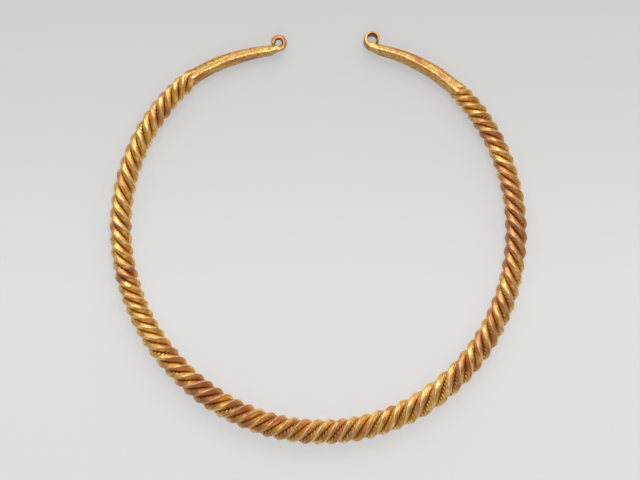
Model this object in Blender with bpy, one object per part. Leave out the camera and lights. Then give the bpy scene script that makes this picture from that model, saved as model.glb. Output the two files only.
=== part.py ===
"""A gold neck ring, lying flat: one four-flanged bar, twisted, with plain ends that curl into loops.

The ring lies in the XY plane with its open mouth towards +Y. Every cross-section of the bar has the
same number of corners, and the whole ring is one loft through those sections, from the tip of the
left loop, round the hoop, to the tip of the right loop.
"""
import math
from collections import namedtuple

import bmesh
import bpy
import numpy as np

# Hoop: sizes in metres, angles in degrees, counted anticlockwise from +X as seen from above
HOOP_RADIUS = 0.0794
OVAL = 0.00056
OVAL_TOWARDS = 118.0
THREE_SIDED = 0.00033
THREE_SIDED_TOWARDS = 38.0
TWIST_START = 129.6
TWIST_END = 405.4
QUARTER_TURNS = 76

# Round the hoop: the crests' radius against CREST_RADIUS, and the twist's tightness against its mean
CREST_RADIUS = 0.005
Place = namedtuple("Place", "angle crest tightness")
HOOP_PLACES = (
    Place(129.6, 0.778, 0.88),
    Place(136.0, 0.820, 1.25),
    Place(142.0, 0.856, 1.01),
    Place(160.0, 0.896, 0.98),
    Place(180.0, 0.900, 0.94),
    Place(200.0, 0.934, 1.10),
    Place(220.0, 0.978, 0.97),
    Place(245.0, 1.014, 1.00),
    Place(280.0, 1.018, 0.98),
    Place(292.0, 1.018, 0.89),
    Place(305.0, 1.024, 0.68),
    Place(318.0, 0.994, 0.82),
    Place(330.0, 0.976, 0.97),
    Place(357.0, 0.896, 0.87),
    Place(381.0, 0.840, 1.01),
    Place(398.0, 0.816, 1.19),
    Place(405.4, 0.800, 1.41),
)

# Flanges: a crest every quarter turn, with grooves between, this deep where crests are at CREST_RADIUS
GROOVE_DEPTH = 0.001775
FLANGE_ROUNDNESS = 1.5
SHOULDER_ANGLE = 24.0
FLANGE_RUN_IN = 0.0064
FLANGE_RUN_OUT = 0.0032

# Plain end bars: half-width across the flats, how square the section is, and the line they take
BAR_SQUARENESS = 5.0
LEFT_HALF_AT_HOOP = 0.00232
LEFT_HALF_AT_LOOP = 0.00163
LEFT_TAPER = 1.8
LEFT_KINK = 6.8
LEFT_BEND = 0.0720
LEFT_LENGTH = 0.0333
RIGHT_HALF_AT_HOOP = 0.00246
RIGHT_HALF_AT_LOOP = 0.00172
RIGHT_TAPER = 1.5
RIGHT_KINK = 2.1
RIGHT_BEND = 0.0683
RIGHT_LENGTH = 0.0356

# Loops: the bar is thinned from its root to the tip and curled outwards, back to its own edge
LEFT_HOLE_RADIUS = 0.00128
LEFT_ROOT = 0.00228
LEFT_TIP = 0.00150
LEFT_THINNING = 0.7
LEFT_DEPTH = 0.0030
LEFT_SINK = 0.00045
LEFT_LEAN = 5.0
RIGHT_HOLE_RADIUS = 0.00194
RIGHT_ROOT = 0.00280
RIGHT_TIP = 0.00086
RIGHT_THINNING = 4.0
RIGHT_DEPTH = 0.0040
RIGHT_SINK = 0.00036
RIGHT_LEAN = 20.0
TIP_GAP = 0.0003
LOOP_CHAMFER = 0.22
LOOP_RUN_IN = 0.0040

# How finely the loft is divided
CORNERS = 16
STEPS_PER_TURN = 12
BAR_STEPS = 10
BAR_STEP_GROWTH = 1.4
ROOT_STEPS = 6
LOOP_STEPS = 13
TWIST_SAMPLES = 2001
HEADING_STEP = 0.01

GOLD = (0.80, 0.50, 0.16)
GOLD_ROUGHNESS = 0.32
SHARP_EDGE = 40.0

ARRIS = 360.0 / CORNERS / 2
QUARTER = 90.0
EIGHTH = 45.0
UP = np.array([0.0, 0.0, 1.0])

Bar = namedtuple("Bar", "half_at_hoop half_at_loop taper kink bend length")
Loop = namedtuple("Loop", "hole root tip thinning depth sink lean")
End = namedtuple("End", "sign bar loop")
LEFT_END = End(-1, Bar(LEFT_HALF_AT_HOOP, LEFT_HALF_AT_LOOP, LEFT_TAPER, LEFT_KINK, LEFT_BEND, LEFT_LENGTH),
               Loop(LEFT_HOLE_RADIUS, LEFT_ROOT, LEFT_TIP, LEFT_THINNING, LEFT_DEPTH, LEFT_SINK, LEFT_LEAN))
RIGHT_END = End(1, Bar(RIGHT_HALF_AT_HOOP, RIGHT_HALF_AT_LOOP, RIGHT_TAPER, RIGHT_KINK, RIGHT_BEND,
                       RIGHT_LENGTH),
                Loop(RIGHT_HOLE_RADIUS, RIGHT_ROOT, RIGHT_TIP, RIGHT_THINNING, RIGHT_DEPTH, RIGHT_SINK,
                     RIGHT_LEAN))

# One cross-section: where it is, which way is out of the hoop and up, and its corners (out, up)
Section = namedtuple("Section", "origin out up corners")


def clear_scene():
    for thing in list(bpy.data.objects):
        bpy.data.objects.remove(thing, do_unlink=True)


def ease(share):
    """A smooth step from 0 to 1."""
    share = np.clip(share, 0.0, 1.0)
    return share * share * (3.0 - 2.0 * share)


def unit(vector):
    return vector / np.linalg.norm(vector)


def along_places(name, angle):
    """A value of HOOP_PLACES at an angle, eased from place to place."""
    angles = [place.angle for place in HOOP_PLACES]
    values = [getattr(place, name) for place in HOOP_PLACES]
    share = (angle - TWIST_START) / (TWIST_END - TWIST_START)
    angle = angles[0] + share * (angles[-1] - angles[0])
    at = int(np.clip(np.searchsorted(angles, angle) - 1, 0, len(angles) - 2))
    step = ease((angle - angles[at]) / (angles[at + 1] - angles[at]))
    return values[at] + step * (values[at + 1] - values[at])


def crest_radius(angle):
    """How far the flanges' crests stand from the bar's middle."""
    return CREST_RADIUS * along_places("crest", angle)


def hoop_point(angle):
    """The middle of the bar on the hoop, which is a little out of round."""
    turn = math.radians(angle)
    radius = HOOP_RADIUS
    radius += OVAL * math.cos(2 * (turn - math.radians(OVAL_TOWARDS)))
    radius += THREE_SIDED * math.cos(3 * (turn - math.radians(THREE_SIDED_TOWARDS)))
    return np.array([radius * math.cos(turn), radius * math.sin(turn), crest_radius(angle)])


def hoop_heading(angle):
    ahead = hoop_point(angle + HEADING_STEP) - hoop_point(angle - HEADING_STEP)
    ahead[2] = 0.0
    return unit(ahead)


def twist_by_angle():
    """Fine steps along the hoop, and the bar's twist at each, in degrees."""
    angles = np.linspace(TWIST_START, TWIST_END, TWIST_SAMPLES)
    tightness = np.array([along_places("tightness", angle) for angle in angles])
    turned = np.concatenate([[0.0], np.cumsum(0.5 * (tightness[1:] + tightness[:-1]))])
    return angles, turned / turned[-1] * QUARTER_TURNS * QUARTER


def flanged_radius(from_crest):
    """The twisted section's radius against its crest, by degrees from the nearest crest."""
    return 1.0 - GROOVE_DEPTH / CREST_RADIUS * (from_crest / EIGHTH) ** FLANGE_ROUNDNESS


def squared_radius(from_crest):
    """The plain bar's radius against its half-width, by degrees from the nearest arris."""
    from_flat = math.radians(EIGHTH - from_crest)
    power = BAR_SQUARENESS
    return (math.cos(from_flat) ** power + math.sin(from_flat) ** power) ** (-1.0 / power)


def bar_corners(crest, half, flanged, twist):
    """The bar's corners: flanged 0 is the plain squared bar, 1 is the full four-flanged one."""
    corners = []
    for corner in range(CORNERS):
        quarter, step = divmod(corner * 360.0 / CORNERS, QUARTER)
        from_crest = min(step, QUARTER - step)
        plain = half * squared_radius(from_crest)
        moved = SHOULDER_ANGLE if 0 < from_crest < EIGHTH else from_crest
        full = crest * flanged_radius(moved)
        shift = math.copysign(flanged * (moved - from_crest), EIGHTH - step)
        turn = math.radians(twist + quarter * QUARTER + step + shift)
        radius = plain + flanged * (full - plain)
        corners.append((radius * math.cos(turn), radius * math.sin(turn)))
    return np.array(corners)


def strip_corners(low, high, depth, twist):
    """A flat-sided strip from low to high across, with chamfered corners, in the bar's corner order."""
    half_out = (high - low) / 2
    half_up = depth / 2
    chamfer = LOOP_CHAMFER * (high - low)
    corners = []
    for corner in range(CORNERS):
        turn = twist + corner * 360.0 / CORNERS + EIGHTH
        side, along = divmod(turn % 360.0, QUARTER)
        reach = (2.0 * along / QUARTER - 1.0) / (1.0 - 4.0 / CORNERS)
        out, up = ((half_out, reach * (half_up - chamfer)),
                   (-reach * (half_out - chamfer), half_up),
                   (-half_out, -reach * (half_up - chamfer)),
                   (reach * (half_out - chamfer), -half_up))[int(side)]
        corners.append((out + (low + high) / 2, up))
    return np.array(corners)


def flanged_share(inside):
    """How fully flanged the bar is, by its distance inside the twisted length."""
    return float(ease((inside + FLANGE_RUN_OUT) / FLANGE_RUN_IN))


def hoop_sections():
    """The twisted hoop, at even steps of its twist."""
    angles, turned = twist_by_angle()
    steps = round(STEPS_PER_TURN * QUARTER_TURNS / 4)
    sections = []
    for step in range(steps + 1):
        turn = turned[-1] * step / steps
        angle = float(np.interp(turn, turned, angles))
        end = LEFT_END if angle - TWIST_START < TWIST_END - angle else RIGHT_END
        inside = HOOP_RADIUS * math.radians(min(angle - TWIST_START, TWIST_END - angle))
        corners = bar_corners(crest_radius(angle), end.bar.half_at_hoop, flanged_share(inside),
                              ARRIS + turn)
        sections.append(Section(hoop_point(angle), np.cross(hoop_heading(angle), UP), UP, corners))
    return sections


def rotated(vector, axis, degrees):
    """A vector turned about a unit axis by the right-hand rule."""
    turn = math.radians(degrees)
    return (vector * math.cos(turn) + np.cross(axis, vector) * math.sin(turn)
            + axis * np.dot(axis, vector) * (1 - math.cos(turn)))


def end_sections(end, twist):
    """A plain end bar and its loop, from the hoop outwards."""
    bar = end.bar
    angle = TWIST_END if end.sign > 0 else TWIST_START
    origin = hoop_point(angle)
    heading = rotated(hoop_heading(angle) * end.sign, UP, end.sign * bar.kink)
    crest = crest_radius(angle)
    sections = []
    reached = 0.0
    for count in range(1, BAR_STEPS + 1):
        share = (count / BAR_STEPS) ** BAR_STEP_GROWTH
        step = bar.length * share - reached
        reached += step
        turn = end.sign * math.degrees(step / bar.bend) / 2
        heading = rotated(heading, UP, turn)
        origin = origin + heading * step
        heading = rotated(heading, UP, turn)
        half = bar.half_at_hoop + (bar.half_at_loop - bar.half_at_hoop) * share ** bar.taper
        out, up = leaning(end, heading, share)
        sections.append(Section(origin, out, up, bar_corners(crest, half, flanged_share(-reached), twist)))
    return sections + loop_sections(end, origin, heading, twist)


def leaning(end, heading, share):
    """Which way is out and up on an end bar, whose loop leans about the bar's own line."""
    out = np.cross(heading, UP) * end.sign
    axis = heading * end.sign
    lean = end.loop.lean * float(ease(share))
    return rotated(out, axis, lean), rotated(UP, axis, lean)


def loop_sections(end, origin, heading, twist):
    """The run into the loop, where the bar is hollowed to the hole's round, and the curl itself."""
    loop = end.loop
    out, up = leaning(end, heading, 1.0)
    plain = bar_corners(0.0, end.bar.half_at_loop, 0.0, twist)
    top = plain[:, 0].max()
    bottom = plain[:, 0].min()
    floor = loop.hole - loop.sink
    centre = origin + heading * LOOP_RUN_IN + out * (top + floor)
    sections = []
    for count in range(1, ROOT_STEPS + 1):
        share = count / ROOT_STEPS
        back = LOOP_RUN_IN * (1.0 - share)
        high = -max(floor, math.sqrt(max(loop.hole ** 2 - back ** 2, 0.0)))
        low = -(floor + top - bottom) * (1 - ease(share)) - (loop.hole + loop.root) * ease(share)
        squeezed = plain.copy()
        squeezed[:, 0] = low + (plain[:, 0] - bottom) * (high - low) / (top - bottom)
        strip = strip_corners(low, high, loop.depth, twist)
        corners = squeezed + (strip - squeezed) * float(ease(share))
        sections.append(Section(centre - heading * back, out, up, corners))
    reach = loop.hole + loop.tip
    sweep = 360.0 - math.degrees(math.acos((floor - TIP_GAP) / reach))
    for count in range(1, LOOP_STEPS + 1):
        share = count / LOOP_STEPS
        wall = loop.tip + (loop.root - loop.tip) * (1.0 - share) ** loop.thinning
        turned = rotated(out, up, -end.sign * sweep * share)
        corners = strip_corners(-(loop.hole + wall), -loop.hole, loop.depth, twist)
        sections.append(Section(centre, turned, up, corners))
    return sections


def ring_sections():
    """Every section in order, from the left loop's tip to the right loop's tip."""
    total = QUARTER_TURNS * QUARTER
    left = end_sections(LEFT_END, ARRIS)
    right = end_sections(RIGHT_END, ARRIS + total)
    return left[::-1] + hoop_sections() + right


def loft(sections):
    """One closed mesh through the sections, with its box's bottom centre at the origin."""
    points = []
    for section in sections:
        for out, up in section.corners:
            points.append(section.origin + section.out * out + section.up * up)
    points = np.array(points)
    low = points.min(axis=0)
    high = points.max(axis=0)
    points -= [(low[0] + high[0]) / 2, (low[1] + high[1]) / 2, low[2]]
    shape = bmesh.new()
    corners = [shape.verts.new(point) for point in points]
    rings = [corners[at:at + CORNERS] for at in range(0, len(corners), CORNERS)]
    for ring, following in zip(rings, rings[1:]):
        for at in range(CORNERS):
            beside = (at + 1) % CORNERS
            shape.faces.new((ring[at], following[at], following[beside], ring[beside]))
    shape.faces.new(rings[0])
    shape.faces.new(rings[-1][::-1])
    bmesh.ops.recalc_face_normals(shape, faces=shape.faces)
    bmesh.ops.triangulate(shape, faces=shape.faces, quad_method="SHORT_EDGE")
    return shape


def gold():
    material = bpy.data.materials.new("gold")
    material.use_nodes = True
    shader = material.node_tree.nodes["Principled BSDF"]
    shader.inputs["Base Color"].default_value = (*GOLD, 1.0)
    shader.inputs["Metallic"].default_value = 1.0
    shader.inputs["Roughness"].default_value = GOLD_ROUGHNESS
    return material


def make_torc():
    collection = bpy.data.collections.new("celtic_gold_torc")
    bpy.context.scene.collection.children.link(collection)
    shape = loft(ring_sections())
    mesh = bpy.data.meshes.new("torc")
    shape.to_mesh(mesh)
    shape.free()
    mesh.shade_smooth()
    mesh.set_sharp_from_angle(angle=math.radians(SHARP_EDGE))
    mesh.materials.append(gold())
    torc = bpy.data.objects.new("torc", mesh)
    collection.objects.link(torc)


clear_scene()
make_torc()
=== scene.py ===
"""Looks for a twisted gold neck ring: a fine mesh for the solid, its gold, the floor, light and camera."""
import math
from collections import namedtuple

import bpy
import numpy as np
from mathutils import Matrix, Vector, noise


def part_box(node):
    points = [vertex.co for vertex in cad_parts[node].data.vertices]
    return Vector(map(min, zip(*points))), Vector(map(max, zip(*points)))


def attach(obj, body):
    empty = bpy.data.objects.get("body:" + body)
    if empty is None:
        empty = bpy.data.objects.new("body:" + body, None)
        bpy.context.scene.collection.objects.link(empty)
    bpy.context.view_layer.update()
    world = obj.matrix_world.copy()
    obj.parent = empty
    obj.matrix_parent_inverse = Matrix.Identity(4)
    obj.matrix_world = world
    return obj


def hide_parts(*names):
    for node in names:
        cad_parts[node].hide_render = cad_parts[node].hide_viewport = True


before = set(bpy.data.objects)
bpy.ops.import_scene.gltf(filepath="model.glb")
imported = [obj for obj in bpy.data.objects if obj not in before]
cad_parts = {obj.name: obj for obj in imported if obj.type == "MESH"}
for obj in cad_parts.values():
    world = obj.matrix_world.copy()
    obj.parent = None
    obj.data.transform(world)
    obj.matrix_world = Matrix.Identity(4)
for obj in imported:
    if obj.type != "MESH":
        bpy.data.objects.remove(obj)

# Hoop: sizes in metres, angles in degrees, counted anticlockwise from +X as seen from above
HOOP_RADIUS = 0.0794
OVAL = 0.00056
OVAL_TOWARDS = 118.0
THREE_SIDED = 0.00033
THREE_SIDED_TOWARDS = 38.0
TWIST_START = 129.6
TWIST_END = 405.4
QUARTER_TURNS = 76

# Round the hoop: crests against CREST_RADIUS, tightness of twist, how coppery and creased it is, and how
# much polish and painted highlight its crests get
CREST_RADIUS = 0.005
Place = namedtuple("Place", "angle crest tightness copper creased lipped")
HOOP_PLACES = (
    Place(129.6, 0.778, 0.88, 0.20, 0.0, 0.1),
    Place(136.0, 0.820, 1.25, 0.30, 0.4, 0.2),
    Place(142.0, 0.856, 1.01, 0.30, 0.4, 0.2),
    Place(160.0, 0.896, 0.98, 0.20, 0.3, 0.2),
    Place(180.0, 0.900, 0.94, 0.10, 0.4, 0.1),
    Place(200.0, 0.934, 1.10, 0.10, 0.3, 0.2),
    Place(220.0, 0.978, 0.97, 0.50, 0.4, 0.7),
    Place(245.0, 1.014, 1.00, 0.80, 0.5, 1.0),
    Place(280.0, 1.018, 0.98, 0.60, 0.7, 1.0),
    Place(292.0, 1.018, 0.89, 0.45, 0.6, 1.0),
    Place(305.0, 1.024, 0.68, 0.20, 0.8, 1.0),
    Place(318.0, 0.994, 0.82, 0.50, 0.8, 1.0),
    Place(330.0, 0.976, 0.97, 0.40, 0.6, 0.6),
    Place(357.0, 0.896, 0.87, 0.80, 0.2, 0.9),
    Place(381.0, 0.840, 1.01, 0.45, 0.3, 0.3),
    Place(398.0, 0.816, 1.19, 0.50, 0.5, 0.2),
    Place(405.4, 0.800, 1.41, 0.30, 0.0, 0.1),
)

# Coppery patches of a few strands, and clean ones where the strength is below nothing
Patch = namedtuple("Patch", "angle reach strength")
COPPER_PATCHES = (
    Patch(179.0, 1.5, 0.5),
    Patch(192.5, 1.8, 0.9),
    Patch(207.0, 7.0, -0.4),
    Patch(234.0, 4.0, 0.4),
    Patch(241.0, 1.5, -0.6),
    Patch(271.0, 2.5, -0.5),
    Patch(286.0, 2.0, -0.6),
    Patch(305.0, 4.0, -0.4),
    Patch(362.0, 4.5, 0.7),
)

# Copper on the loops, painted shade on their inner walls and on the bars' outer edges and inner faces, a
# plain darkening over the bars, and how far out or in a face looks for it
LEFT_LOOP_COPPER = 0.55
RIGHT_LOOP_COPPER = 0.7
LOOP_WALL_SHADE = 0.85
BAR_DARKENING = 0.10
EDGE_SHADE = 0.60
INNER_FACE_SHADE = 0.36
LOOP_WALL_FROM = 0.1
LOOP_WALL_TO = 0.7
OUTER_EDGE_FROM = 0.62
OUTER_EDGE_TO = 0.87
INNER_FACE_FROM = 0.2
INNER_FACE_TO = 0.3

# Copper along the flanks, strand by strand and in smaller blotches: how long or wide, and how strong
STRAND_COPPER_LENGTH = 0.009
STRAND_COPPER = 0.9
BLOTCH_SIZE = 0.005
BLOTCH_COPPER = 0.7

# Dirt and painted shade in the seams, and polish and painted highlight on the lips: degrees from seam or
# crest, strength, and how patchy
DIRT_AND_SHADE_ANGLE = 5.0
SEAM_DIRT_AND_SHADE = 0.95
DIRT_AND_SHADE_PATCHINESS = 0.5
HIGHLIGHT_ANGLE = 2.4
CREST_POLISH_AND_HIGHLIGHT = 0.9
HIGHLIGHT_PATCHINESS = 0.8
PATCHY_SIZE = 0.004
# How the painted groove shade deepens from crest to seam
DEPTH_ROUNDNESS = 1.5

# Grooves that are combed all the way, by the hoop angle where they lie on top
COMBED_GROOVES = (271.0, 287.0, 303.5, 324.0, 394.0)
COMBED_REACH = 1.7

# Flanges: a crest every quarter turn, with grooves between, this deep where crests are at CREST_RADIUS
GROOVE_DEPTH = 0.001775
FLANGE_ROUNDNESS = 1.5
FLANGE_RUN_IN = 0.0064
FLANGE_RUN_OUT = 0.0032
LIP_HEIGHT = 0.018
LIP_ANGLE = 3.0
SEAM_DEPTH = 0.11
SEAM_ANGLE = 3.6

# Plain end bars: half-width across the flats, how square the section is, and the line they take
BAR_SQUARENESS = 9.0
BAR_SLIMMING = 0.97
LEFT_HALF_AT_HOOP = 0.00232
LEFT_HALF_AT_LOOP = 0.00163
LEFT_TAPER = 1.8
LEFT_KINK = 6.8
LEFT_BEND = 0.0720
LEFT_LENGTH = 0.0333
RIGHT_HALF_AT_HOOP = 0.00246
RIGHT_HALF_AT_LOOP = 0.00172
RIGHT_TAPER = 1.5
RIGHT_KINK = 2.1
RIGHT_BEND = 0.0683
RIGHT_LENGTH = 0.0356

# Loops: the bar is thinned from its root to the tip and curled outwards, back to its own edge
LEFT_HOLE_RADIUS = 0.00128
LEFT_ROOT = 0.00228
LEFT_TIP = 0.00150
LEFT_THINNING = 0.7
LEFT_DEPTH = 0.0030
LEFT_SINK = 0.00045
LEFT_LEAN = 5.0
LEFT_LOOP_SQUARENESS = 3.0
RIGHT_HOLE_RADIUS = 0.00194
RIGHT_ROOT = 0.00280
RIGHT_TIP = 0.00086
RIGHT_THINNING = 4.0
RIGHT_DEPTH = 0.0040
RIGHT_SINK = 0.00036
RIGHT_LEAN = 20.0
RIGHT_LOOP_SQUARENESS = 4.0
TIP_GAP = 0.0003
LOOP_RUN_IN = 0.0040
TIP_ROUNDING = 0.0004
TIP_BLUNTNESS = 0.72

# How finely the mesh is divided: columns by their degrees from a crest, and rings along the bar
FROM_CREST = (0.0, 2.5, 6.0, 15.0, 24.0, 30.5, 36.5, 41.5, 45.0)
HOOP_RINGS = 1300
CREASED_CLOSER = 0.9
BAR_RINGS = 62
ROOT_RINGS = 14
LOOP_RINGS = 42
TWIST_SAMPLES = 2001
HEADING_STEP = 0.01
SHARP_ANGLE = 75.0

# Relief on the mesh: lengths in metres, reaches in degrees from the seam
CREASE_PITCH = 0.00165
CREASE_HEIGHT = 0.00050
CREASE_REACH = 24.0
CREASE_FADE = 0.7
NICK_REACH = 11.0
NICK_STRENGTH = 0.55
CREASE_SLANT = 0.7
STRAND_SLOPE = 0.7
CREASE_PATCH = 0.006
CREASED_WEIGHT = 0.9
CREASE_THRESHOLD = 0.45
CREASE_ONSET = 0.4
FLANK_DENT = 0.00010
FLANK_DENT_SIZE = 0.0022
HAMMER_DENT = 0.00012
HAMMER_DENT_SIZE = 0.0060
BAR_FLANK_DENT = 0.4

# Where each noise is read, so that no two are alike
FLANK_SEED = 3.1
HAMMER_SEED = 8.4
PATCHY_SEED = 21.0
BLOTCH_SEED = 5.5
CREASE_SEED = 1.7
CREASE_QUARTER_SEED = 5.3
COPPER_SEED = 9.2
COPPER_QUARTER_SEED = 3.7
COPPER_SIDE_SEED = 1.9

# Streaks in the gold are read this far apart for each strand, a whole number of creases
QUARTER_APART = 320 * CREASE_PITCH / math.sqrt(2)

# Gold's colours, as linear red, green and blue
PALE = (1.0, 0.72, 0.35)
YELLOW = (0.96, 0.56, 0.13)
BROWN = (0.68, 0.29, 0.025)
# Deeper orange-brown painted towards the seams as shade, for light bounced between the gold flanks
GROOVE_SHADE_TINT = (0.60, 0.28, 0.02)
COPPER = (0.64, 0.28, 0.11)
MAUVE = (0.33, 0.13, 0.075)
# Pale tint for polish and painted highlight on the crests and the creases' ridges
POLISH_AND_HIGHLIGHT_TINT = (1.0, 0.72, 0.42)
# Dark for dirt and painted shade: seams, crease valleys, the loops' inner walls, the bars' outer edges and
# inner faces
DIRT_AND_SHADE_COLOUR = (0.14, 0.042, 0.002)

# Gold's patterns: noise along and across each strand, and a grain that runs all ways, per metre
Pattern = namedtuple("Pattern", "along across detail")
STREAKS = Pattern(350.0, 1500.0, 3.0)
MOTTLE = Pattern(700.0, 1300.0, 4.0)
GRAIN_PER_METRE = 1700.0
GRAIN_DETAIL = 3.0

# How a pattern or a mask becomes a share of a colour, of dirt and painted shade, or of polish and painted
# highlight, or a roughness
Turn = namedtuple("Turn", "low high to_low to_high")
STREAKS_TO_PALE = Turn(0.42, 0.58, 0.0, 1.0)
MOTTLE_TO_BROWN = Turn(0.48, 0.62, 0.0, 0.8)
PATCHES_TO_COPPER = Turn(0.35, 0.75, 0.0, 0.85)
PATCHES_TO_MAUVE = Turn(0.85, 1.35, 0.0, 0.9)
VALLEYS_TO_DIRT_AND_SHADE = Turn(0.0, -0.5, 0.0, 1.0)
RIDGES_TO_POLISH_AND_HIGHLIGHT = Turn(0.3, 1.0, 0.0, 0.7)
GRAIN_TO_DIRT_AND_SHADE = Turn(0.35, 0.6, 0.6, 1.0)
MOTTLE_TO_ROUGHNESS = Turn(0.35, 0.65, 0.30, 0.46)
GROOVE_SHADE_SHARE = 0.5
POLISH_AND_HIGHLIGHT_SHARE = 0.75
DIRT_AND_SHADE_ROUGHNESS = 0.3
DIRT_AND_SHADE_DULLNESS = 0.6
GRAIN_RELIEF = 0.3
BUMP_DISTANCE = 0.00018

# Floor: a pale plane that glows a little, less towards +Y, just under the ring
FLOOR_SIZE = 6.0
FLOOR_DROP = 0.00002
FLOOR_GREY = 0.30
FLOOR_ROUGHNESS = 0.9
FLOOR_GLOW = 0.47
FLOOR_FADE = Turn(-0.02, 0.10, 1.0, 0.70)
BLACK = (0.0, 0.0, 0.0)
WHITE = (1.0, 1.0, 1.0)

# Light: a room, and lamps by their azimuth from +X, their elevation and their power in watts
ROOM_COLOUR = (1.0, 0.95, 0.87)
ROOM_STRENGTH = 0.37
LAMP_COLOUR = (0.93, 0.97, 1.0)
LAMP_SIZE = 0.7
LAMP_DISTANCE = 1.6
Lamp = namedtuple("Lamp", "name azimuth elevation power")
LAMPS = (
    Lamp("overhead", 0.0, 88.0, 4.2),
    Lamp("north_high", 85.0, 56.0, 6.6),
    Lamp("north", 80.0, 34.0, 3.5),
    Lamp("north_low", 80.0, 13.0, 2.6),
    Lamp("north_west", 120.0, 36.0, 2.1),
    Lamp("north_east", 40.0, 36.0, 1.7),
    Lamp("north_east_low", 40.0, 14.0, 1.3),
    Lamp("south_high", 265.0, 50.0, 1.3),
)

# Camera: straight above the ring as it lies, with a long lens
VIEW_WIDTH = 0.256
CAMERA_DISTANCE = 1.2
SENSOR = 36.0
VIEW_CENTRE = (0.00067, -0.00088)
RING_MIDDLE_HEIGHT = 0.005

QUARTER = 90.0
EIGHTH = 45.0
ARRIS = 11.25
UP = np.array([0.0, 0.0, 1.0])

Bar = namedtuple("Bar", "half_at_hoop half_at_loop taper kink bend length")
Loop = namedtuple("Loop", "hole root tip thinning depth sink lean squareness")
End = namedtuple("End", "sign bar loop")
LEFT_END = End(-1, Bar(LEFT_HALF_AT_HOOP, LEFT_HALF_AT_LOOP, LEFT_TAPER, LEFT_KINK, LEFT_BEND, LEFT_LENGTH),
               Loop(LEFT_HOLE_RADIUS, LEFT_ROOT, LEFT_TIP, LEFT_THINNING, LEFT_DEPTH, LEFT_SINK, LEFT_LEAN,
                    LEFT_LOOP_SQUARENESS))
RIGHT_END = End(1, Bar(RIGHT_HALF_AT_HOOP, RIGHT_HALF_AT_LOOP, RIGHT_TAPER, RIGHT_KINK, RIGHT_BEND,
                       RIGHT_LENGTH),
                Loop(RIGHT_HOLE_RADIUS, RIGHT_ROOT, RIGHT_TIP, RIGHT_THINNING, RIGHT_DEPTH, RIGHT_SINK,
                     RIGHT_LEAN, RIGHT_LOOP_SQUARENESS))

# One ring of the mesh: its place, which way is out and up, its corners, how flanged, and its hoop angle
Ring = namedtuple("Ring", "origin out up corners flanged angle")


def ease(share):
    """A smooth step from 0 to 1."""
    share = np.clip(share, 0.0, 1.0)
    return share * share * (3.0 - 2.0 * share)


def rise(value, low, high):
    """A smooth step from 0 at low to 1 at high."""
    return ease((value - low) / (high - low))


def unit(vectors):
    return vectors / np.linalg.norm(vectors, axis=-1, keepdims=True)


def make_columns():
    """Each column's quarter of the section, its degrees past that quarter's crest, and from the nearest."""
    half = np.array(FROM_CREST)
    within = np.concatenate([half[:-1], QUARTER - half[:0:-1]])
    quarter = np.repeat(np.arange(4), len(within))
    within = np.tile(within, 4)
    return quarter, within, np.minimum(within, QUARTER - within)


QUARTER_OF, WITHIN, FROM_NEAREST = make_columns()


def along_places(name, angle):
    """A value of HOOP_PLACES at an angle, eased from place to place."""
    angles = [place.angle for place in HOOP_PLACES]
    values = [getattr(place, name) for place in HOOP_PLACES]
    at = int(np.clip(np.searchsorted(angles, angle) - 1, 0, len(angles) - 2))
    step = ease((angle - angles[at]) / (angles[at + 1] - angles[at]))
    return values[at] + step * (values[at + 1] - values[at])


def crest_radius(angle):
    """How far the flanges' crests stand from the bar's middle."""
    return CREST_RADIUS * along_places("crest", angle)


def hoop_point(angle):
    """The middle of the bar on the hoop, which is a little out of round."""
    turn = math.radians(angle)
    radius = HOOP_RADIUS
    radius += OVAL * math.cos(2 * (turn - math.radians(OVAL_TOWARDS)))
    radius += THREE_SIDED * math.cos(3 * (turn - math.radians(THREE_SIDED_TOWARDS)))
    return np.array([radius * math.cos(turn), radius * math.sin(turn), crest_radius(angle)])


def hoop_heading(angle):
    ahead = hoop_point(angle + HEADING_STEP) - hoop_point(angle - HEADING_STEP)
    ahead[2] = 0.0
    return unit(ahead)


def twist_by_angle():
    """Fine steps along the hoop, and the bar's twist at each, in degrees."""
    angles = np.linspace(TWIST_START, TWIST_END, TWIST_SAMPLES)
    tightness = np.array([along_places("tightness", angle) for angle in angles])
    turned = np.concatenate([[0.0], np.cumsum(0.5 * (tightness[1:] + tightness[:-1]))])
    return angles, turned / turned[-1] * QUARTER_TURNS * QUARTER


def flanged_radius():
    """Each column's radius on the twisted bar against its crest, with a thin lip on the crest."""
    radius = 1.0 - LIP_HEIGHT - GROOVE_DEPTH / CREST_RADIUS * (FROM_NEAREST / EIGHTH) ** FLANGE_ROUNDNESS
    radius += LIP_HEIGHT * np.exp(-(FROM_NEAREST / LIP_ANGLE) ** 4)
    return radius - SEAM_DEPTH * np.exp(-((EIGHTH - FROM_NEAREST) / SEAM_ANGLE) ** 2)


def squared_radius():
    """Each column's radius on a plain bar against its half-width."""
    from_flat = np.radians(EIGHTH - FROM_NEAREST)
    power = BAR_SQUARENESS
    return BAR_SLIMMING * (np.cos(from_flat) ** power + np.sin(from_flat) ** power) ** (-1.0 / power)


FLANGED_RADIUS = flanged_radius()
SQUARED_RADIUS = squared_radius()


def bar_corners(crest, half, flanged, twist):
    """The bar's corners: flanged 0 is the plain squared bar, 1 is the full four-flanged one."""
    plain = half * SQUARED_RADIUS
    radius = plain + flanged * (crest * FLANGED_RADIUS - plain)
    turn = np.radians(twist + QUARTER_OF * QUARTER + WITHIN)
    return np.stack([radius * np.cos(turn), radius * np.sin(turn)], axis=1)


def strip_corners(low, high, depth, squareness, twist):
    """A flat strip from low to high across, with rounded edges, in the bar's corner order."""
    turn = np.radians(twist + QUARTER_OF * QUARTER + WITHIN)
    out = np.cos(turn)
    up = np.sin(turn)
    power = 2.0 / squareness
    out = np.sign(out) * np.abs(out) ** power * (high - low) / 2 + (low + high) / 2
    up = np.sign(up) * np.abs(up) ** power * depth / 2
    return np.stack([out, up], axis=1)


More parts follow.
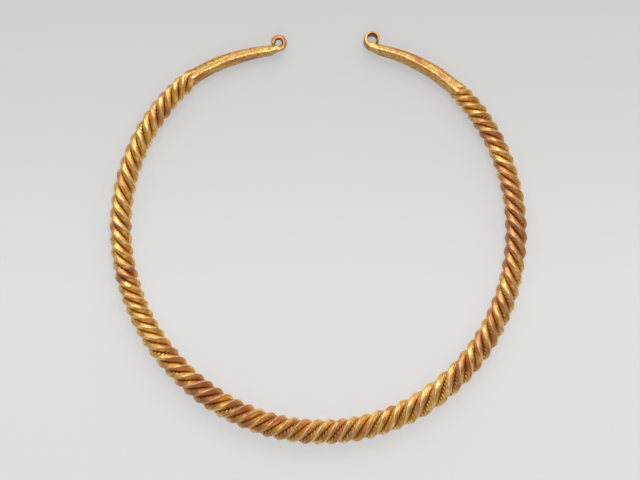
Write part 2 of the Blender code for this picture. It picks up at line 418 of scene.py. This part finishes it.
def flanged_share(inside):
    """How fully flanged the bar is, by its distance inside the twisted length."""
    return float(ease((inside + FLANGE_RUN_OUT) / FLANGE_RUN_IN))


def ring_angles(angles):
    """Where the hoop's rings stand: closer together where the gold is creased."""
    closeness = np.array([1.0 + CREASED_CLOSER * along_places("creased", angle) for angle in angles])
    reached = np.concatenate([[0.0], np.cumsum(0.5 * (closeness[1:] + closeness[:-1]))])
    return np.interp(np.linspace(0.0, reached[-1], HOOP_RINGS), reached, angles)


def hoop_rings():
    """The twisted hoop."""
    angles, turned = twist_by_angle()
    rings = []
    for angle in ring_angles(angles):
        turn = float(np.interp(angle, angles, turned))
        end = LEFT_END if angle - TWIST_START < TWIST_END - angle else RIGHT_END
        flanged = flanged_share(HOOP_RADIUS * math.radians(min(angle - TWIST_START, TWIST_END - angle)))
        corners = bar_corners(crest_radius(angle), end.bar.half_at_hoop, flanged, ARRIS + turn)
        out = np.cross(hoop_heading(angle), UP)
        rings.append(Ring(hoop_point(angle), out, UP, corners, flanged, angle))
    return rings


def rotated(vector, axis, degrees):
    """A vector turned about a unit axis by the right-hand rule."""
    turn = math.radians(degrees)
    return (vector * math.cos(turn) + np.cross(axis, vector) * math.sin(turn)
            + axis * np.dot(axis, vector) * (1 - math.cos(turn)))


def leaning(end, heading, share):
    """Which way is out and up on an end bar, whose loop leans about the bar's own line."""
    out = np.cross(heading, UP) * end.sign
    axis = heading * end.sign
    lean = end.loop.lean * float(ease(share))
    return rotated(out, axis, lean), rotated(UP, axis, lean)


def end_rings(end, twist):
    """A plain end bar and its loop, from the hoop outwards."""
    bar = end.bar
    angle = TWIST_END if end.sign > 0 else TWIST_START
    origin = hoop_point(angle)
    heading = rotated(hoop_heading(angle) * end.sign, UP, end.sign * bar.kink)
    crest = crest_radius(angle)
    step = bar.length / BAR_RINGS
    turn = end.sign * math.degrees(step / bar.bend) / 2
    rings = []
    for count in range(1, BAR_RINGS + 1):
        heading = rotated(heading, UP, turn)
        origin = origin + heading * step
        heading = rotated(heading, UP, turn)
        share = count / BAR_RINGS
        flanged = flanged_share(-step * count)
        half = bar.half_at_hoop + (bar.half_at_loop - bar.half_at_hoop) * share ** bar.taper
        out, up = leaning(end, heading, share)
        rings.append(Ring(origin, out, up, bar_corners(crest, half, flanged, twist), flanged, angle))
    return rings + loop_rings(end, origin, heading, twist, angle)


def loop_rings(end, origin, heading, twist, angle):
    """The run into the loop, where the bar is hollowed to the hole's round, and the curl itself."""
    loop = end.loop
    out, up = leaning(end, heading, 1.0)
    plain = bar_corners(0.0, end.bar.half_at_loop, 0.0, twist)
    top = plain[:, 0].max()
    bottom = plain[:, 0].min()
    floor = loop.hole - loop.sink
    centre = origin + heading * LOOP_RUN_IN + out * (top + floor)
    rings = []
    for count in range(1, ROOT_RINGS + 1):
        share = count / ROOT_RINGS
        back = LOOP_RUN_IN * (1.0 - share)
        high = -max(floor, math.sqrt(max(loop.hole ** 2 - back ** 2, 0.0)))
        low = -(floor + top - bottom) * (1 - ease(share)) - (loop.hole + loop.root) * ease(share)
        squeezed = plain.copy()
        squeezed[:, 0] = low + (plain[:, 0] - bottom) * (high - low) / (top - bottom)
        strip = strip_corners(low, high, loop.depth, loop.squareness, twist)
        corners = squeezed + (strip - squeezed) * float(ease(share))
        rings.append(Ring(centre - heading * back, out, up, corners, 0.0, angle))
    sweep = 360.0 - math.degrees(math.acos((floor - TIP_GAP) / (loop.hole + loop.tip)))
    for share in np.append(np.arange(1, LOOP_RINGS) / LOOP_RINGS, 1.0):
        wall = loop.tip + (loop.root - loop.tip) * (1.0 - share) ** loop.thinning
        turned = rotated(out, up, -end.sign * sweep * share)
        shut = tip_share(end, (1.0 - share) * math.radians(sweep) * loop.hole)
        high = -loop.hole - wall * (1.0 - shut) / 2
        low = -loop.hole - wall * (1.0 + shut) / 2
        corners = strip_corners(low, high, loop.depth * shut, loop.squareness, twist)
        rings.append(Ring(centre, turned, up, corners, 0.0, angle))
    return rings


def tip_share(end, to_tip):
    """How full the section is near the loop's tip, whose end is slightly rounded off."""
    left = min(to_tip / TIP_ROUNDING, 1.0)
    return TIP_BLUNTNESS + (1.0 - TIP_BLUNTNESS) * math.sqrt(1.0 - (1.0 - left) ** 2)


def all_rings():
    """Every ring in order, from the left loop's tip to the right loop's tip."""
    left = end_rings(LEFT_END, ARRIS)
    right = end_rings(RIGHT_END, ARRIS + QUARTER_TURNS * QUARTER)
    return left[::-1] + hoop_rings() + right


def noise_at(points, size, seed):
    """Smooth noise from about -1 to 1 at points (n, 3), with features of the given size."""
    return np.array([noise.noise((x / size + seed, y / size, z / size)) for x, y, z in points])


def strand_noise(along, size, row, seed):
    """Smooth noise along the bar, from about -1 to 1; each row of it differs."""
    return np.array([noise.noise((place / size, row, seed)) for place in along])


def surface_normals(points):
    along = np.gradient(points, axis=0)
    around = np.roll(points, -1, axis=1) - np.roll(points, 1, axis=1)
    return unit(np.cross(around, along))


def groove_radii(rings):
    """Each ring's radius at the bottom of its grooves."""
    return np.array([crest_radius(ring.angle) for ring in rings]) * (1.0 - GROOVE_DEPTH / CREST_RADIUS)


def nearness(rings, angle, reach):
    """How near each ring is to an angle on the hoop: 1 there, fading to 0 past its reach."""
    return np.array([math.exp(-((ring.angle - angle) / reach) ** 4) for ring in rings])


def crease_strength(rings, along):
    """How strongly each point is creased: either side of some grooves, fading in and out along the bar."""
    reach = np.clip(1.0 - (EIGHTH - FROM_NEAREST) / CREASE_REACH, 0.0, 1.0) ** CREASE_FADE
    nicks = np.clip(1.0 - (EIGHTH - FROM_NEAREST) / NICK_REACH, 0.0, 1.0) * NICK_STRENGTH
    creased = np.array([along_places("creased", ring.angle) for ring in rings])
    combed = np.zeros(len(rings))
    for groove in COMBED_GROOVES:
        combed += nearness(rings, groove, COMBED_REACH)
    strength = np.zeros((len(rings), len(WITHIN)))
    for quarter in range(4):
        patch = strand_noise(along, CREASE_PATCH, quarter * CREASE_QUARTER_SEED, CREASE_SEED)
        patch = ease((patch + creased * CREASED_WEIGHT - CREASE_THRESHOLD) / CREASE_ONSET)
        patch = np.maximum(patch, combed)
        mine = QUARTER_OF == quarter
        strength[:, mine] = np.maximum(patch[:, None] * reach[mine], nicks[mine])
    return strength * np.array([ring.flanged for ring in rings])[:, None]


def crease_wave(rings, along):
    """Herring-bone ridges and valleys that meet at the seam, from 1 to -1."""
    arc = groove_radii(rings)[:, None] * np.radians(WITHIN - EIGHTH)
    phase = along[:, None] * math.sqrt(2) - STRAND_SLOPE * arc - CREASE_SLANT * np.abs(arc)
    return -np.cos(2 * math.pi * phase / CREASE_PITCH)


def make_surface():
    """The ring's points, with its relief, and what colours each of them."""
    rings = all_rings()
    points = np.array([ring.origin + ring.corners[:, :1] * ring.out + ring.corners[:, 1:] * ring.up
                       for ring in rings])
    middles = points.mean(axis=1)
    along = np.concatenate([[0.0], np.cumsum(np.linalg.norm(np.diff(middles, axis=0), axis=1))])
    normals = surface_normals(points)
    if np.sum(normals * (points - middles[:, None, :])) < 0:
        normals = -normals
    flanged = np.array([ring.flanged for ring in rings])[:, None]
    flat = points.reshape(-1, 3)
    shape = points.shape[:2]
    creased = crease_strength(rings, along)
    dents = noise_at(flat, FLANK_DENT_SIZE, FLANK_SEED).reshape(shape)
    hammered = noise_at(flat, HAMMER_DENT_SIZE, HAMMER_SEED).reshape(shape)
    height = creased * crease_wave(rings, along) * CREASE_HEIGHT / 2
    height += dents * FLANK_DENT * (BAR_FLANK_DENT + (1.0 - BAR_FLANK_DENT) * flanged)
    height += hammered * HAMMER_DENT * (1.0 - flanged)
    points = points + normals * height[:, :, None]
    masks = colour_masks(rings, along, flat, shape)
    masks["creased"] = creased
    return points, strand_places(rings, along), masks


def colour_masks(rings, along, flat, shape):
    """How dark with dirt and painted shade, how pale with polish and painted highlight and how coppery the
    gold is at each point, and how deep in a groove, which sets a deeper painted shade.
    """
    flanged = np.array([ring.flanged for ring in rings])[:, None]
    patchy = noise_at(flat, PATCHY_SIZE, PATCHY_SEED).reshape(shape)
    # Seams darkened with dirt and painted shade, in patches; the plain bars darkened a little all over
    seam = np.exp(-((EIGHTH - FROM_NEAREST) / DIRT_AND_SHADE_ANGLE) ** 2)[None, :]
    dirt_and_shade = seam * flanged * (SEAM_DIRT_AND_SHADE + DIRT_AND_SHADE_PATCHINESS * patchy) + BAR_DARKENING * (1.0 - flanged)
    lipped = np.array([along_places("lipped", ring.angle) for ring in rings])[:, None]
    # Crests paler, in patches: polish and painted highlight
    crest = np.exp(-(FROM_NEAREST / HIGHLIGHT_ANGLE) ** 4)[None, :]
    lip = crest * flanged * lipped * (CREST_POLISH_AND_HIGHLIGHT + HIGHLIGHT_PATCHINESS * patchy)
    dirt_and_shade = np.maximum(dirt_and_shade, end_shade(shape))
    # Depth in the groove, which sets the deeper tone painted towards the seams as shade
    depth = (FROM_NEAREST / EIGHTH) ** DEPTH_ROUNDNESS * flanged
    masks = {"dirt_and_shade": dirt_and_shade, "lip": lip, "copper": copper_mask(rings, along, flat, shape), "depth": depth}
    return {name: np.clip(values, 0.0, 1.0) for name, values in masks.items()}


def copper_mask(rings, along, flat, shape):
    """How coppery the gold is: by the place on the hoop, in patches, along each flank, and on the loops."""
    level = np.array([along_places("copper", ring.angle) for ring in rings])
    for patch in COPPER_PATCHES:
        level += patch.strength * nearness(rings, patch.angle, patch.reach)
    copper = np.zeros(shape)
    for quarter in range(4):
        for side in (0, 1):
            mine = (QUARTER_OF == quarter) & ((WITHIN > EIGHTH) == bool(side))
            row = quarter * COPPER_QUARTER_SEED + side * COPPER_SIDE_SEED
            strip = strand_noise(along, STRAND_COPPER_LENGTH, row, COPPER_SEED)
            copper[:, mine] = (level + strip * STRAND_COPPER)[:, None]
    copper += noise_at(flat, BLOTCH_SIZE, BLOTCH_SEED).reshape(shape) * BLOTCH_COPPER
    copper[:LOOP_RINGS] += LEFT_LOOP_COPPER
    copper[-LOOP_RINGS:] += RIGHT_LOOP_COPPER
    return copper


def end_shade(shape):
    """Painted shade on the inner walls of both loops, and on the outer edges and inner faces of the bars.
    """
    dirt_and_shade = np.zeros(shape)
    bar_end = LOOP_RINGS + ROOT_RINGS + BAR_RINGS
    left = (slice(0, LOOP_RINGS), slice(LOOP_RINGS, bar_end), ARRIS)
    right = (slice(-LOOP_RINGS, None), slice(-bar_end, -LOOP_RINGS), ARRIS + QUARTER_TURNS * QUARTER)
    for loop, bar, twist in (left, right):
        outward = np.cos(np.radians(twist + QUARTER_OF * QUARTER + WITHIN))
        # Painted shade on the loops' inner walls, along the bars' outer edges and on the bars' inner faces
        dirt_and_shade[loop] = rise(outward, LOOP_WALL_FROM, LOOP_WALL_TO) * LOOP_WALL_SHADE
        dirt_and_shade[bar] = rise(outward, OUTER_EDGE_FROM, OUTER_EDGE_TO) * EDGE_SHADE
        dirt_and_shade[bar] += rise(-outward, INNER_FACE_FROM, INNER_FACE_TO) * INNER_FACE_SHADE
    return dirt_and_shade


def in_the_box(points):
    """The points moved so that their box stands where the solid's does."""
    low, high = (np.array(corner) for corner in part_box("torc"))
    flat = points.reshape(-1, 3)
    shift = (low + high - flat.min(axis=0) - flat.max(axis=0)) / 2
    shift[2] = low[2] - flat[:, 2].min()
    return points + shift


def strand_places(rings, along):
    """Each face corner's place along its strand, and how far round from the seam it lies."""
    radii = groove_radii(rings)[:, None]
    along = along[:, None] + QUARTER_OF * QUARTER_APART
    beyond = np.append(WITHIN[1:], QUARTER)
    beyond[beyond == 0.0] = QUARTER
    near = radii * np.radians(WITHIN - EIGHTH)
    far = radii * np.radians(beyond - EIGHTH)
    corners = [(along[:-1], near[:-1]), (along[1:], near[1:]), (along[1:], far[1:]), (along[:-1], far[:-1])]
    return np.stack([np.stack(corner, axis=-1) for corner in corners], axis=2).reshape(-1, 2)


def make_mesh(points, places, masks):
    rings, columns = points.shape[:2]
    at = np.arange(rings * columns).reshape(rings, columns)
    beside = np.roll(at, -1, axis=1)
    sides = np.stack([at[:-1], at[1:], beside[1:], beside[:-1]], axis=-1).reshape(-1, 4)
    faces = sides.tolist() + [at[0].tolist(), at[-1][::-1].tolist()]
    mesh = bpy.data.meshes.new("torc_gold")
    mesh.from_pydata(points.reshape(-1, 3).tolist(), [], faces)
    for name, values in masks.items():
        layer = mesh.attributes.new(name, "FLOAT", "POINT")
        layer.data.foreach_set("value", values.astype(np.float32).ravel())
    strands = mesh.uv_layers.new(name="strand")
    uv = np.zeros((len(mesh.loops), 2), dtype=np.float32)
    uv[:len(sides) * 4] = places
    strands.data.foreach_set("uv", uv.ravel())
    mesh.update()
    mesh.shade_smooth()
    mesh.set_sharp_from_angle(angle=math.radians(SHARP_ANGLE))
    return mesh


def link(tree, output, entry):
    tree.links.new(output, entry)


def new_node(tree, kind, **settings):
    node = tree.nodes.new(kind)
    for name, value in settings.items():
        setattr(node, name, value)
    return node


def mixed(tree, share, first, second):
    """A colour mixed from two, each a plain colour or another node's output."""
    node = new_node(tree, "ShaderNodeMix", data_type="RGBA")
    link(tree, share, node.inputs["Factor"])
    colours = [entry for entry in node.inputs if entry.type == "RGBA"]
    for entry, colour in zip(colours, (first, second)):
        if isinstance(colour, tuple):
            entry.default_value = (*colour, 1.0)
        else:
            link(tree, colour, entry)
    return next(output for output in node.outputs if output.type == "RGBA")


def remapped(tree, value, turn):
    node = new_node(tree, "ShaderNodeMapRange", clamp=True)
    link(tree, value, node.inputs["Value"])
    node.inputs["From Min"].default_value = turn.low
    node.inputs["From Max"].default_value = turn.high
    node.inputs["To Min"].default_value = turn.to_low
    node.inputs["To Max"].default_value = turn.to_high
    return node.outputs["Result"]


def noise_texture(tree, scale, detail):
    place = new_node(tree, "ShaderNodeTexCoord")
    node = new_node(tree, "ShaderNodeTexNoise")
    node.inputs["Scale"].default_value = scale
    node.inputs["Detail"].default_value = detail
    link(tree, place.outputs["Object"], node.inputs["Vector"])
    return node.outputs["Fac"]


def streaks(tree, pattern):
    """Noise drawn out along the strands."""
    place = new_node(tree, "ShaderNodeUVMap", uv_map="strand")
    stretched = new_node(tree, "ShaderNodeVectorMath", operation="MULTIPLY")
    link(tree, place.outputs["UV"], stretched.inputs[0])
    stretched.inputs[1].default_value = (pattern.along, pattern.across, 0.0)
    node = new_node(tree, "ShaderNodeTexNoise", noise_dimensions="2D")
    node.inputs["Scale"].default_value = 1.0
    node.inputs["Detail"].default_value = pattern.detail
    link(tree, stretched.outputs["Vector"], node.inputs["Vector"])
    return node.outputs["Fac"]


def crease_ridges(tree):
    """The mesh's herring-bone ridges again, for painted highlight on the ridges and painted shade in the
    valleys: 1 on a ridge, -1 in a valley.
    """
    place = new_node(tree, "ShaderNodeUVMap", uv_map="strand")
    apart = new_node(tree, "ShaderNodeSeparateXYZ")
    link(tree, place.outputs["UV"], apart.inputs["Vector"])
    wave = 2 * math.pi / CREASE_PITCH
    along = maths(tree, "MULTIPLY", apart.outputs["X"], math.sqrt(2) * wave)
    across = maths(tree, "MULTIPLY", apart.outputs["Y"], STRAND_SLOPE * wave)
    slanted = maths(tree, "MULTIPLY", maths(tree, "ABSOLUTE", apart.outputs["Y"]), CREASE_SLANT * wave)
    phase = maths(tree, "SUBTRACT", maths(tree, "SUBTRACT", along, across), slanted)
    return maths(tree, "MULTIPLY", maths(tree, "COSINE", phase), -1.0)


def mask(tree, name):
    return new_node(tree, "ShaderNodeAttribute", attribute_name=name).outputs["Fac"]


def maths(tree, operation, *values):
    node = new_node(tree, "ShaderNodeMath", operation=operation)
    for entry, value in zip(node.inputs, values):
        if isinstance(value, float):
            entry.default_value = value
        else:
            link(tree, value, entry)
    return node.outputs["Value"]


def gold_colour(tree, streaky, mottle, lip, dirt_and_shade):
    """Yellow gold, browner in streaks, deeper towards the seams with painted shade, coppery in places, pale
    on its lips with polish and painted highlight, and dark with dirt and painted shade.
    """
    colour = mixed(tree, remapped(tree, streaky, STREAKS_TO_PALE), YELLOW, PALE)
    colour = mixed(tree, remapped(tree, mottle, MOTTLE_TO_BROWN), colour, BROWN)
    colour = mixed(tree, maths(tree, "MULTIPLY", mask(tree, "depth"), GROOVE_SHADE_SHARE), colour, GROOVE_SHADE_TINT)
    patches = mask(tree, "copper")
    colour = mixed(tree, remapped(tree, patches, PATCHES_TO_COPPER), colour, COPPER)
    colour = mixed(tree, remapped(tree, patches, PATCHES_TO_MAUVE), colour, MAUVE)
    colour = mixed(tree, maths(tree, "MULTIPLY", lip, POLISH_AND_HIGHLIGHT_SHARE), colour, POLISH_AND_HIGHLIGHT_TINT)
    return mixed(tree, dirt_and_shade, colour, DIRT_AND_SHADE_COLOUR)


def dirt_shade_and_highlight(tree, grain):
    """Dirt and painted shade in the seams and in the creases' valleys, and polish and painted highlight on
    the lips and the creases' ridges.
    """
    ridges = crease_ridges(tree)
    creased = mask(tree, "creased")
    # Crease valleys get dirt and painted shade; crease ridges get polish and painted highlight
    valleys = maths(tree, "MULTIPLY", remapped(tree, ridges, VALLEYS_TO_DIRT_AND_SHADE), creased)
    raised = maths(tree, "MULTIPLY", remapped(tree, ridges, RIDGES_TO_POLISH_AND_HIGHLIGHT), creased)
    dirt_and_shade = maths(tree, "MULTIPLY", mask(tree, "dirt_and_shade"), remapped(tree, grain, GRAIN_TO_DIRT_AND_SHADE))
    return maths(tree, "MAXIMUM", dirt_and_shade, valleys), maths(tree, "MAXIMUM", mask(tree, "lip"), raised)


def make_gold():
    """Old gold: streaked along its strands, with coppery patches, lips pale with polish and painted
    highlight, and seams dark with dirt and painted shade.
    """
    material = bpy.data.materials.new("old_gold")
    material.use_nodes = True
    tree = material.node_tree
    shader = tree.nodes["Principled BSDF"]
    streaky = streaks(tree, STREAKS)
    mottle = streaks(tree, MOTTLE)
    grain = noise_texture(tree, GRAIN_PER_METRE, GRAIN_DETAIL)
    dirt_and_shade, lip = dirt_shade_and_highlight(tree, grain)
    link(tree, gold_colour(tree, streaky, mottle, lip, dirt_and_shade), shader.inputs["Base Color"])
    dullness = maths(tree, "MULTIPLY", dirt_and_shade, DIRT_AND_SHADE_DULLNESS)
    link(tree, maths(tree, "SUBTRACT", 1.0, dullness), shader.inputs["Metallic"])
    dirt_and_shade_rough = maths(tree, "MULTIPLY", dirt_and_shade, DIRT_AND_SHADE_ROUGHNESS)
    rough = maths(tree, "ADD", remapped(tree, mottle, MOTTLE_TO_ROUGHNESS), dirt_and_shade_rough)
    link(tree, rough, shader.inputs["Roughness"])
    relief = maths(tree, "ADD", streaky, maths(tree, "MULTIPLY", grain, GRAIN_RELIEF))
    bump = new_node(tree, "ShaderNodeBump")
    bump.inputs["Strength"].default_value = 1.0
    bump.inputs["Distance"].default_value = BUMP_DISTANCE
    link(tree, relief, bump.inputs["Height"])
    link(tree, bump.outputs["Normal"], shader.inputs["Normal"])
    return material


def make_torc():
    points, places, masks = make_surface()
    mesh = make_mesh(in_the_box(points), places, masks)
    mesh.materials.append(make_gold())
    torc = bpy.data.objects.new("torc_gold", mesh)
    bpy.context.scene.collection.objects.link(torc)
    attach(torc, "root")
    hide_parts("torc")


def make_floor():
    bpy.ops.mesh.primitive_plane_add(size=FLOOR_SIZE, location=(0.0, 0.0, -FLOOR_DROP))
    floor = bpy.context.object
    floor.name = "floor"
    material = bpy.data.materials.new("pale_floor")
    material.use_nodes = True
    tree = material.node_tree
    shader = tree.nodes["Principled BSDF"]
    shader.inputs["Base Color"].default_value = (FLOOR_GREY, FLOOR_GREY, FLOOR_GREY, 1.0)
    shader.inputs["Roughness"].default_value = FLOOR_ROUGHNESS
    shader.inputs["Specular IOR Level"].default_value = 0.0
    place = new_node(tree, "ShaderNodeTexCoord")
    apart = new_node(tree, "ShaderNodeSeparateXYZ")
    link(tree, place.outputs["Object"], apart.inputs["Vector"])
    shade = remapped(tree, apart.outputs["Y"], FLOOR_FADE)
    link(tree, mixed(tree, shade, BLACK, WHITE), shader.inputs["Emission Color"])
    shader.inputs["Emission Strength"].default_value = FLOOR_GLOW
    floor.data.materials.append(material)


def make_lamp(lamp):
    """A round light, as far off as the others, that looks at the ring."""
    light = bpy.data.lights.new(lamp.name, "AREA")
    light.shape = "DISK"
    light.size = LAMP_SIZE
    light.energy = lamp.power
    light.color = LAMP_COLOUR
    holder = bpy.data.objects.new(lamp.name, light)
    holder.rotation_mode = "QUATERNION"
    azimuth = math.radians(lamp.azimuth)
    elevation = math.radians(lamp.elevation)
    level = math.cos(elevation)
    towards = Vector((level * math.cos(azimuth), level * math.sin(azimuth), math.sin(elevation)))
    holder.location = towards * LAMP_DISTANCE
    holder.rotation_quaternion = (-towards).to_track_quat("-Z", "Y")
    bpy.context.scene.collection.objects.link(holder)


def make_light():
    """A pale room, soft lights from beyond the ring's mouth and overhead, and a weak one from in front."""
    world = bpy.data.worlds.new("studio")
    bpy.context.scene.world = world
    world.use_nodes = True
    back = world.node_tree.nodes["Background"]
    back.inputs["Color"].default_value = (*ROOM_COLOUR, 1.0)
    back.inputs["Strength"].default_value = ROOM_STRENGTH
    for lamp in LAMPS:
        make_lamp(lamp)


def make_camera():
    camera = bpy.data.cameras.new("camera")
    camera.sensor_width = SENSOR
    camera.lens = SENSOR * CAMERA_DISTANCE / VIEW_WIDTH
    camera.clip_end = 10.0
    eye = bpy.data.objects.new("camera", camera)
    eye.location = (*VIEW_CENTRE, CAMERA_DISTANCE + RING_MIDDLE_HEIGHT)
    bpy.context.scene.collection.objects.link(eye)
    bpy.context.scene.camera = eye
    bpy.context.scene.view_settings.view_transform = "Standard"


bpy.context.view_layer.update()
make_torc()
make_floor()
make_light()
make_camera()
